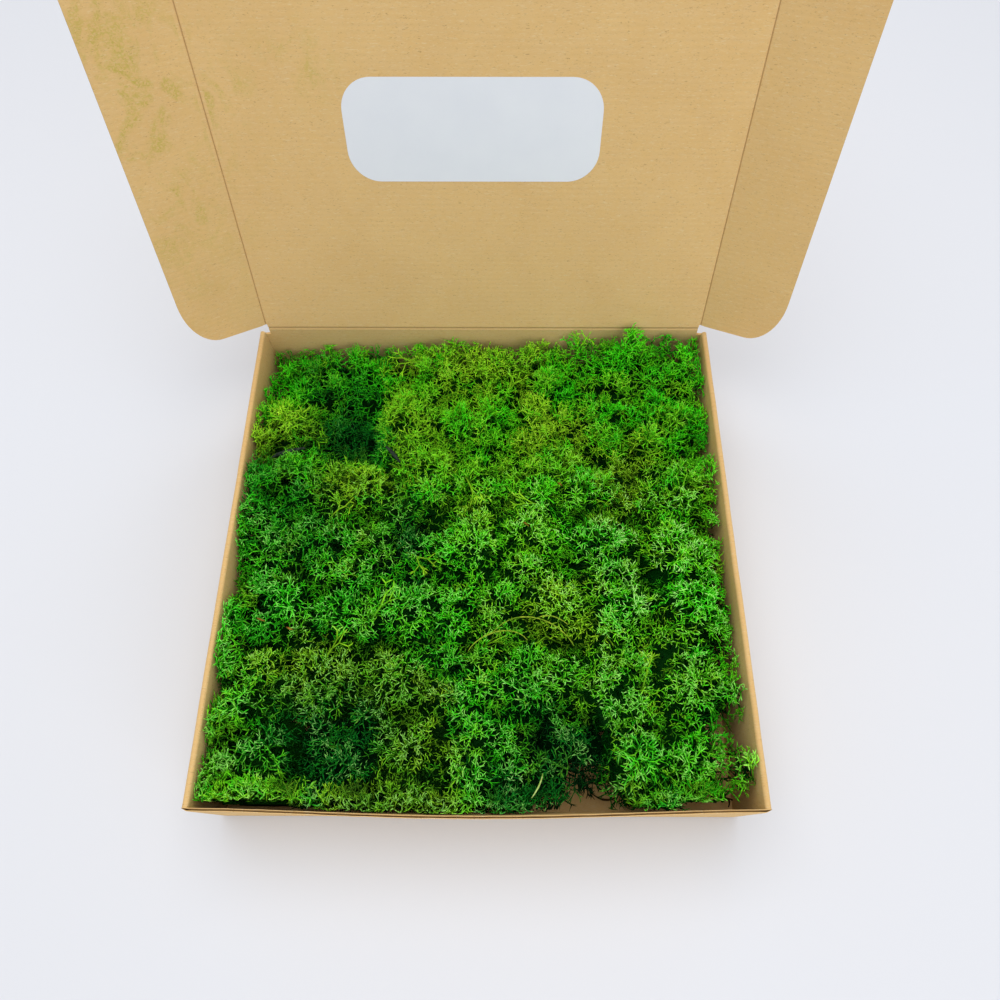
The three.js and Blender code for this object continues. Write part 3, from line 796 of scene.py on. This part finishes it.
def makeCanopy(tufts):
    # the height of the heads' skin over the tray: the tops of the tufts, with lobes on them,
    # hollows that the heap has, and nothing where the floor is bare
    draw = np.random.default_rng(7)
    top = np.zeros((2 * mapHalf[0] + 1, 2 * mapHalf[1] + 1))
    for tuft in tufts:
        up = np.flatnonzero(tuft["normal"][:, 2] > 0.05)
        share = tuft["area"][up] / tuft["area"][up].sum()
        picked = draw.choice(up, size=int(tuft["area"][up].sum() * 4), p=share)
        points = onTriangles(tuft, picked, draw)
        np.maximum.at(top, cellOf(points), points[:, 2])
    covered = (top > 25).astype(float)
    filled = blurred(top * covered, 3) / np.maximum(blurred(covered, 3), 1e-3)
    level = blurred(top * covered, 12) / np.maximum(blurred(covered, 12), 1e-3)
    filled = np.where(blurred(covered, 3) > 0.05, filled, level - 6)
    x, y = np.meshgrid(np.arange(-mapHalf[0], mapHalf[0] + 1), np.arange(-mapHalf[1], mapHalf[1] + 1),
                       indexing="ij")
    lobes = np.full(x.shape, -heap["lobeDrop"])
    steps = np.arange(-142, 150, heap["lobeStep"])
    heads = np.stack(np.meshgrid(steps, steps), -1).reshape(-1, 2)
    heads += draw.uniform(-8, 8, heads.shape)
    sizes = draw.uniform(*heap["lobe"], len(heads))
    for place, size, rise in zip(heads, sizes, draw.uniform(-3.5, 3.0, len(heads))):
        away = ((x - place[0]) ** 2 + (y - place[1]) ** 2) / size ** 2
        lobes = np.maximum(lobes, rise + 3.0 - heap["lobeDrop"] * away)
    # along the walls the heads stand up against the board, so their round sides don't show
    inward = np.minimum(mapHalf[0] - np.abs(x), mapHalf[1] - np.abs(y))
    free = np.clip(inward / heap["wallReach"], 0.15, 1)
    canopy = level + heap["lift"] + heap["valley"] * (filled - level) * free + lobes * (0.4 + 0.6 * free)
    canopy += 1.2 * smoothDraw(draw, x.shape, 4)
    for place, size in heap["against"]:
        canopy += np.clip(1.6 * bump(x, y, place, size), 0, 1) * np.clip(heap["full"] - canopy, 0, None)
    for place, size, lift in heap["high"]:
        canopy += lift * bump(x, y, place, size)
    for place, size, drop in heap["hollow"]:
        canopy -= drop * bump(x, y, place, size)
    present = np.ones_like(canopy, bool)
    ragged = 0.12 * smoothDraw(draw, x.shape, 3)
    for place, size in heap["bare"]:
        present &= bump(x, y, place, size) + ragged < 0.42
    above = sum(lift * bump(x, y, place, size) for place, size, lift in heap["tall"])
    return np.clip(canopy, heap["low"], heap["top"] + above), present


def strandArrays(form, start, direction, curve, length, radius, endRadius, draw):
    # closed three-sided strands on the line start + length * (direction*t + curve*t*t):
    # a tube with flat ends, a tip with a ring at its middle and a point, or a plain cone
    count = len(start)
    helper = unit(draw.normal(size=(count, 3)))
    rings = dict(tube=(0.0, 1.0), tip=(0.0, 0.66), cone=(0.0,))[form]
    points = []
    for t in rings:
        middle = start + length[:, None] * (direction * t + curve * t * t)
        tangent = unit(direction + 2 * t * curve)
        first = unit(np.cross(tangent, helper))
        second = np.cross(tangent, first)
        thick = (radius + (endRadius - radius) * t)[:, None]
        for k in range(3):
            turn = 2 * math.pi * k / 3
            points.append(middle + thick * (math.cos(turn) * first + math.sin(turn) * second))
    faces = [(2, 1, 0)]
    if len(rings) == 2:
        for a, b in ((0, 1), (1, 2), (2, 0)):
            faces += [(a, b, b + 3), (a, b + 3, a + 3)]
    along = list(np.repeat(rings, 3))
    end = len(points) - 3
    if form == "tube":
        faces.append((end, end + 1, end + 2))
    else:
        points.append(start + length[:, None] * (direction + curve))
        along.append(1.0)
        faces += [(end, end + 1, end + 3), (end + 1, end + 2, end + 3), (end + 2, end, end + 3)]
    everyFace = (np.array(faces)[None] + (np.arange(count) * len(points))[:, None, None]).reshape(-1, 3)
    return np.stack(points, 1).reshape(-1, 3), everyFace, np.tile(along, count)


def growTrees(start, heading, traits, low, high, draw, tipForm="tip"):
    # every tree forks three times; all trees of a tuft grow a level at a time. traits:
    # yellow, dark, pale, size, and how far the forks may leave the level
    shells = []
    levels = len(growth["length"])
    for level in range(levels):
        n = len(start)
        last = level == levels - 1
        side = unit(np.cross(heading, unit(draw.normal(size=(n, 3)))))
        curve = side * growth["bend"][level] * draw.uniform(0.3, 1.0, (n, 1))
        length = growth["length"][level] * traits[:, 3] * draw.uniform(0.75, 1.25, n)
        # what would leave the box turns back into it, or stays short
        end = start + length[:, None] * (heading + curve)
        over = (end > high) | (end < low)
        heading = unit(np.where(over, -0.4 * heading, heading))
        curve = np.where(over.any(1, keepdims=True), 0.0, curve)
        end = start + length[:, None] * (heading + curve)
        length = np.where(((end > high) | (end < low)).any(1), length * 0.35, length)
        end = start + length[:, None] * (heading + curve)
        radius = growth["radius"][level] * traits[:, 3] ** 0.5 * draw.uniform(0.85, 1.15, n)
        if last:
            radius = radius * (1.0 if tipForm == "tip" else 1.3)
        points, faces, t = strandArrays(tipForm if last else "tube", start, heading, curve, length,
                                        radius, radius * 0.85, draw)
        shell = dict(points=points, faces=[faces], reach=(level + t) / levels)
        for k, mark in enumerate(("yellow", "dark", "pale")):
            shell[mark] = np.repeat(np.clip(traits[:, k] + draw.normal(0, 0.07, n), 0, 1), len(points) // n)
        shells.append(shell)
        if last:
            return shells
        forks = np.where(draw.random(n) < growth["third"][level], 3, 2)
        parent = np.repeat(np.arange(n), forks)
        order = np.arange(len(parent)) - (np.cumsum(forks) - forks)[parent]
        around = (draw.uniform(0, 2 * math.pi, n)[parent] + 2 * math.pi * order / forks[parent]
                  + draw.normal(0, 0.3, len(parent)))
        tangent = unit(heading + 2 * curve)
        acrossOne = unit(np.cross(tangent, unit(draw.normal(size=(n, 3)))))
        acrossTwo = np.cross(tangent, acrossOne)
        angle = np.radians(growth["spread"][level + 1] + draw.normal(0, 9, len(parent)))
        out = np.cos(around)[:, None] * acrossOne[parent] + np.sin(around)[:, None] * acrossTwo[parent]
        heading = np.cos(angle)[:, None] * tangent[parent] + np.sin(angle)[:, None] * out
        heading[:, 2] = (heading[:, 2] + 0.06) * traits[parent, 4]
        start, heading, traits = end[parent], unit(heading), traits[parent]


def placeRoots(draw, pitch, present):
    # a staggered grid over the heap, each root moved a little
    columns = np.arange(-146, 147, pitch)
    rows = np.arange(-148, 149, pitch * math.sqrt(3) / 2)
    x, y = np.meshgrid(columns, rows, indexing="ij")
    x = x + (np.arange(len(rows)) % 2) * pitch / 2
    roots = np.stack([x.ravel(), y.ravel()], 1)
    roots += draw.uniform(-0.42, 0.42, roots.shape) * pitch
    kept = (np.abs(roots[:, 0]) < 146.3) & (np.abs(roots[:, 1]) < 148)
    roots = roots[kept]
    return roots[present[cellOf(roots)]]


strays = (  # long branches: place in mm, direction in degrees, rise, size, yellow, and pale tips (partly painted sheen)
    ((-58, 55), -22, 0.2, 1.35, 0.9, 0.2), ((-45, -4), -27, 0.2, 1.3, 1.0, 0.1),
    ((-10, 44), -66, 0.2, 1.5, 0.9, 0.1), ((-92, 20), 43, 0.2, 1.3, 1.0, 0.0),
    ((39, 24), 175, 0.2, 1.4, 0.8, 0.1), ((14, 104), 66, 0.2, 1.5, 0.8, 0.3),
    ((54, -61), 158, 0.2, 1.7, 0.9, 0.1), ((91, -86), 72, 0.2, 1.3, 0.9, 0.3),
    ((-61, -48), 55, 0.2, 1.6, 0.6, 0.4), ((-142, -140), 33, 0.2, 1.2, 0.3, 0.9),
    ((99, 70), -21, 0.2, 1.2, 0.8, 0.8), ((-87, -70), 55, 0.2, 1.3, 0.9, 0.2),
    ((-40, 128), 170, 0.2, 1.4, 0.8, 0.1), ((-5, -62), 10, 0.2, 1.4, 0.8, 0.0),
    ((67, 139), 80, 3.2, 1.25, 0.7, 0.0), ((64, 141), 110, 3.0, 1.0, 0.7, 0.0),
    ((99, 141), 90, 3.0, 1.1, 0.2, 0.0))
shut = dict(  # the room that the shut lid and its folded flaps leave, in mm
    under=63.5, side=143.3, front=-145.2, edge=61.2)


def roomOf(tuft):
    # the room a head grows in, and the one joint named for it: at a side wall its dust
    # flap, along the front the front flap, and elsewhere the lid
    x, y = tuft["middle"][:2]
    room = dict(joint="lid_hinge", axis=(0, 0, 1), anchor=(0, 0, board * mm),
                low=np.array([-shut["side"], shut["front"], 2.2]),
                high=np.array([shut["side"], 147.9, 73.0]))
    if abs(x) > 115:
        side = math.copysign(1, x)
        room.update(joint="dust_flap_%s_fold" % ("left" if side < 0 else "right"), axis=(1, 0, 0),
                    anchor=(side * 103 * mm, 0, 0), keep=0.925)
        room["low" if side < 0 else "high"][0] = side * 146.3
        room["high"][2] = shut["under"]
    elif y < -115:
        room.update(joint="front_flap_fold", axis=(0, 1, 0), anchor=(0, -104 * mm, 0), keep=0.872)
        room["low"][1] = -147.9
        room["high"][2] = shut["under"]
    return room


def plantHeap(draw, canopy, present, pitch):
    # for every tree its root's x and y, and the height of the skin over it; first the upper
    # trees, then a few lower ones that close the holes between them
    roots = placeRoots(draw, pitch, present)
    upper = len(roots)
    skin = [np.column_stack([roots, canopy[cellOf(roots)] + draw.normal(-0.5, 1.2, upper)])]
    under = placeRoots(draw, pitch * growth["understory"], present)
    skin.append(np.column_stack([under, canopy[cellOf(under)] - growth["under"]]))
    # rows that stand against the left and front walls, up to the rim
    along = np.arange(-143, 78, growth["rowStep"])
    left = np.column_stack([draw.uniform(-146, -143.5, len(along)), along])
    along = np.concatenate([np.arange(-140, 46, growth["rowStep"]), np.arange(82, 126, growth["rowStep"])])
    fore = np.column_stack([along, draw.uniform(-147.6, -145, len(along))])
    rows = np.concatenate([left, fore])
    rows[:len(left), 1] += draw.uniform(-1.2, 1.2, rows.shape)[:len(left), 1]
    rows = np.concatenate([rows, rows + draw.uniform(-0.8, 0.8, rows.shape)])
    lower = np.repeat([0, 7], len(rows) // 2)  # a second set stands lower and hides the wall
    skin.append(np.column_stack([rows, canopy[cellOf(rows)] + draw.uniform(-3, 1.5, len(rows)) - lower]))
    return np.concatenate(skin), upper, upper + len(under)


def dyeHeap(draw, roots, middles, dye, shape):
    # each branch takes its dye from the tufts near it, the places bent by a smooth noise so
    # that the shades run into each other in ragged tongues
    place = cellOf(roots)
    bent = roots + np.stack([smoothDraw(draw, shape, 9)[place] * 9,
                             smoothDraw(draw, shape, 9)[place] * 9], 1)
    away = np.linalg.norm(bent[:, None] - middles[None], axis=2)
    nearness = np.exp(-(away / 19) ** 2) + 1e-9
    mood = nearness @ dye / nearness.sum(1, keepdims=True)
    fine = np.stack([smoothDraw(draw, shape, 4)[place], smoothDraw(draw, shape, 5)[place]], 1)
    mood = mood + fine * (0.16, 0.12)
    # the front is a little darker than the back
    mood[:, 1] += 0.2 * np.clip((-30 - roots[:, 1]) / 110, 0, 1) - 0.3 * np.clip(roots[:, 1] / 90, 0, 1)
    for spot, spread, yellower, darker in growth["tinted"]:
        mood += bump(roots[:, 0], roots[:, 1], spot, spread)[:, None] * (yellower, darker)
    return mood


def planHeap(tufts):
    # all that the trees of every tuft share
    draw = np.random.default_rng(11)
    canopy, present = makeCanopy(tufts)
    slopeX, slopeY = np.gradient(blurred(canopy, 2), cell)
    skin, upper, lower = plantHeap(draw, canopy, present, growth["spacing"] * (1))
    roots = skin[:, :2]
    place = cellOf(roots)
    slope = np.clip(np.stack([slopeX[place], slopeY[place]], 1), -1.5, 1.5)
    middles = np.array([t["middle"][:2] for t in tufts])
    dye = np.array([shades[t["shade"]][:2] for t in tufts])
    mood = dyeHeap(draw, roots, middles, dye, canopy.shape)
    # painted shade: the lower trees are coloured darker, as they stand under the others
    mood[upper:lower, 1] += 0.5
    size = np.ones(len(roots))
    for spot, spread, more in growth["coarse"]:
        size += more * bump(roots[:, 0], roots[:, 1], spot, spread)
    # pale tips, partly painted sheen: most on the right of the heap and towards the front
    paleTipsAndSheen = (0.5 * bump(roots[:, 0], roots[:, 1], (90, -10), (70, 66))
                + 0.06 + 0.3 * np.clip((70 - roots[:, 1]) / 60, 0, 1))
    owner = np.argmin(np.linalg.norm(roots[:, None] - middles[None], axis=2), axis=1)
    return dict(canopy=canopy, around=blurred(canopy, 9), present=present, middles=middles, dye=dye,
                upper=upper, owner=owner, skin=skin, mood=mood, size=size, paleTipsAndSheen=paleTipsAndSheen,
                outward=unit(np.column_stack([-slope, np.ones(len(roots))])))


def growTuft(plan, number, tuft, room):
    draw = np.random.default_rng(1000 + number)
    low, high = room["low"], room["high"]
    mine = np.flatnonzero(plan["owner"] == number)
    shells = []
    # flanks that show: faces of the tuft that look out of the heap, at a wall or a bare spot
    pushed = tuft["corners"][tuft["tris"]].mean(1) + 7 * tuft["normal"]
    outside = ((~plan["present"][cellOf(pushed)]) | (np.abs(pushed[:, 0]) > 146)
               | (np.abs(pushed[:, 1]) > 148))
    weight = tuft["area"] * outside * np.clip(1 - tuft["normal"][:, 2], 0, 1) * (pushed[:, 2] > 8)
    flank = int(min(weight.sum() / 40, 24))
    for layer in ("upper", "under", "flank"):
        if layer != "flank":
            these = mine[(mine < plan["upper"]) == (layer == "upper")]
            surface, out, mood, pale, grown = (plan[name][these] for name in
                                               ("skin", "outward", "mood", "paleTipsAndSheen", "size"))
        elif flank:
            picked = draw.choice(len(weight), size=flank, p=weight / weight.sum())
            surface, out = onTriangles(tuft, picked, draw), unit(tuft["normal"][picked] + (0, 0, 0.2))
            # painted shade: the flanks take the tuft's dye made a little darker, and no pale tips
            mood, pale = np.tile(plan["dye"][number] + (0, 0.2), (flank, 1)), np.zeros(flank)
            grown = np.full(flank, 0.8)
        else:
            continue
        n = len(surface)
        traits = np.column_stack([np.clip(mood[:, 0] + draw.normal(0, 0.14, n), 0, 1),
                                  np.clip(mood[:, 1] + draw.normal(0, 0.12, n), 0, 1),
                                  np.clip(pale * draw.uniform(0, 1.4, n), 0, 1),
                                  grown * draw.uniform(0.82, 1.12, n) * draw.uniform(0.92, 1.06),
                                  np.ones(n)])
        heading = unit(out + 0.32 * draw.normal(size=(n, 3)) + (0, 0, 0.12))
        start = np.clip(surface - growth["reach"] * traits[:, 3:4] * out, low + 1.5, high - 1.5)
        near = (layer == "upper") & (start[:, 1] < growth["sharpFront"])
        for these, form in ((near, "tip"), (~near, "cone")):
            if these.any():
                shells += growTrees(start[these], heading[these], traits[these], low, high, draw, form)
    for spot, turn, rise, big, yellow, pale in strays:
        spot = np.array(spot, float)
        if np.argmin(np.linalg.norm(spot - plan["middles"], axis=1)) == number:
            # a long broken branch that lies on the heap, or one that stands at the back
            lying = rise < 1
            heading = np.array([[math.cos(math.radians(turn)), math.sin(math.radians(turn)), rise]])
            height = plan["canopy"][cellOf(spot[None])][0] - (1 if lying else 7)
            traits = np.array([[yellow, 0.0, pale, big, 0.35 if lying else 1.0]])
            shells += growTrees(np.array([[*spot, height]]), unit(heading), traits, low, high, draw)
    return shells


def shadeTrees(plan, shells):
    # painted shade: the branches are coloured darker towards the inside of the heap and in its hollows, for
    # the light, and partly the dye, that fade there; towards the back less of this shade is painted
    for shell in shells:
        points = shell["points"]
        column = cellOf(points)
        depth = plan["canopy"][column] + 1.5 - points[:, 2]
        lit = np.clip(1.08 - depth / growth["shadeDepth"], 0.08, 1)
        lit *= np.clip(1.05 + (plan["canopy"][column] - plan["around"][column]) / 11, 0.4, 1.05)
        back = 0.82 * np.clip((points[:, 1] + 25) / 90, 0, 1)
        shell["reach"] = np.clip((0.4 + 0.62 * shell["reach"]) * np.maximum(lit, back), 0, 1)


def leanOnWall(shells):
    # the front row leans on the bulging wall, under the front flap's crease
    for shell in shells:
        x, y, z = shell["points"].T
        y -= bowAt(x, z) * np.clip((-y - 122) / 24, 0, 1)
        z[y < -146.5] = np.minimum(z[y < -146.5], shut["edge"])


def shadeCoreShell(plan, tuft):
    # painted shade: a dark core inside the tuft, coloured like its roots, well under the skin and off the
    # bare floor, so the gaps between the branches show dark
    heart = tuft["middle"] + (tuft["corners"] - tuft["middle"]) * (1.03, 1.03, 1.0)
    heart = np.clip(heart, (-146.5, -148.2, 0), (146.5, 148.2, 80))
    for _ in range(4):
        off = ~plan["present"][cellOf(heart)]
        heart[off, :2] += 0.3 * (tuft["middle"][:2] - heart[off, :2])
    column = cellOf(heart)
    z = np.maximum(np.minimum(heart[:, 2], plan["canopy"][column] - growth["shadeCoreDepth"]), 2.0)
    heart[:, 2] = np.where(plan["present"][column], z, np.minimum(z, 12.0))
    return dict(points=heart, faces=[tuft["tris"]], dark=1.0)


def makeLichen():
    tufts = [readNode(n) for n in sorted(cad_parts) if n.startswith("tuft_")]
    plan = planHeap(tufts)
    materials = {shade: lichenMaterial(shade) for shade in shades}
    total = 0
    for number, tuft in enumerate(tufts):
        room = roomOf(tuft)
        shells = growTuft(plan, number, tuft, room)
        shadeTrees(plan, shells)
        if room["joint"] == "front_flap_fold":
            leanOnWall(shells)
        shells.append(shadeCoreShell(plan, tuft))
        piece = makePiece("lichen_" + tuft["name"][5:], shells, "tray",
                          materials[tuft["shade"]], marks=marksOfLichen)
        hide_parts(tuft["name"])
        highest = max(shell["points"][:, 2].max() for shell in shells)
        if "keep" not in room and highest > shut["under"]:
            room["keep"] = (shut["under"] - board) / (highest - board)
        if "keep" in room:
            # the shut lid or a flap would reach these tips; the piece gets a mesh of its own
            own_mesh(piece)
        total += len(piece.data.polygons)
    print("lichen grown:", len(tufts), "tufts,", total, "triangles")


makeLichen()


# Loose scraps

def tubeShell(path, radius, sides, rough, draw):
    # a closed tube along a smooth curve through `path`; its radius is given at the same places
    path = np.asarray(path, float)
    t = np.linspace(0, 1, len(path))
    fine = np.linspace(0, 1, 4 * (len(path) - 1) + 1)
    degree = min(3, len(path) - 1)
    middle = np.stack([np.polyval(np.polyfit(t, path[:, k], degree), fine) for k in range(3)], 1)
    thick = np.interp(fine, np.linspace(0, 1, len(radius)), radius)
    tangent = unit(np.gradient(middle, axis=0))
    first = unit(np.cross(tangent, (0.3, 0.1, 1.0)))
    second = np.cross(tangent, first)
    turn = np.linspace(0, 2 * math.pi, sides, endpoint=False)
    swell = 1 + rough * draw.normal(size=(len(fine), sides))
    ring = (np.cos(turn)[None, :, None] * first[:, None] + np.sin(turn)[None, :, None] * second[:, None])
    sections = middle[:, None] + (thick[:, None] * swell)[..., None] * ring
    return loftShell(sections, np.zeros(sections.shape[:2] + (2,)))


scraps = dict(  # x, y and z in mm along each scrap, its radii, and its colours
    twig=dict(
        paths=(((-134, 57.5, 50.5), (-128, 59.5, 53), (-120, 61.5, 54), (-112.5, 64, 52.5)),
               ((-61, 64, 55), (-56, 58, 58), (-51, 52, 56))),
        radius=(0.5, 1.1, 1.3, 1.1, 0.6), sides=8, rough=0.06, colours=("161E1A", "38463A"), slot="teal"),
    bark=dict(
        paths=(((-126, -48.5, 58), (-124, -49.5, 59.2), (-121, -50.5, 58.5)),
               ((-109, -53.5, 57.5), (-107, -54.5, 58.2), (-105, -55, 57)),
               ((46.5, 38, 57.5), (48, 36.5, 58.2), (49.5, 35.5, 57.5)),
               ((25, 11.5, 57), (27, 10, 58.2), (29, 8.5, 57.5))),
        radius=(0.2, 0.6, 0.3), sides=6, rough=0.15, colours=("5C3C10", "9A6C28"), slot="olive"),
    sticks=dict(
        paths=(((57, -124, 34), (58.5, -130, 22), (58, -136, 6)),
               ((66, -138, 4), (72, -141, 5), (79, -140, 4)),
               ((140, -139, 4), (143, -141, 9), (141, -145, 15)),
               ((128, -143, 30), (134, -141, 27), (141, -142, 24))),
        radius=(0.3, 0.55, 0.6, 0.4), sides=6, rough=0.08, colours=("2A1E0A", "4E3A16"), slot="olive"),
    straw=dict(
        paths=(((34.2, -131.3, 58), (32.2, -137, 60.5), (28.2, -143.2, 59.5)),),
        radius=(0.2, 0.4, 0.45, 0.25), sides=6, rough=0.05, colours=("8AA83A", "B8CC7A"), slot="lime"),
    strands=dict(
        paths=(((8, -56, 58), (20, -49.6, 61.5), (33, -49, 62.4), (45, -55.6, 61), (53, -64, 58)),
               ((-6, -67, 57), (3, -59.5, 61), (16, -56.5, 62), (27, -61, 59)),
               ((30, -50, 60), (40, -48, 62), (50, -52, 58.5))),
        radius=(0.2, 0.35, 0.38, 0.35, 0.2), sides=6, rough=0.08,
        colours=("548012", "A4B834"), slot="lime"),
)


def scrapMaterial(name, colours):
    # dry plant stalk: fibrous, streaked along its length, dull
    material, tree, surface = startMaterial("dry_stalk_" + name, 0.75, 0.1)
    place = addNode(tree, "TexCoord", out="Object")
    streak = addNode(tree, "TexNoise", Vector=place, Scale=1 / (1.6 * mm), Detail=3.0)
    share = addNode(tree, "MapRange", i0=streak, i1=0.35, i2=0.65)
    colour = addNode(tree, "Mix", rgba, 2, i0=share, i6=srgb(colours[0]), i7=srgb(colours[1]))
    tree.links.new(colour, surface.inputs["Base Color"])
    grooves = addNode(tree, "Bump", Height=streak, Strength=0.4, Distance=0.0002)
    tree.links.new(grooves, surface.inputs["Normal"])
    return material


def makeScraps():
    draw = np.random.default_rng(77)
    for name, scrap in scraps.items():
        shells = [tubeShell(path, scrap["radius"], scrap["sides"], scrap["rough"], draw)
                  for path in scrap["paths"]]
        makePiece("scrap_" + name, shells, "tray",
                  scrapMaterial(name, scrap["colours"]))
    print("scraps made")


makeScraps()


# Floor

def makeFloor():
    # white laminate, matt, a little cool in the window light
    material, tree, surface = startMaterial("white_table_laminate", 0.7, 0.5)
    surface.inputs["Base Color"].default_value = srgb("D9DBE0")
    bpy.ops.mesh.primitive_plane_add(size=6, location=(0, 0, -0.0002))
    floor = bpy.context.object
    floor.name = "floor"
    floor.data.materials.append(material)


makeFloor()
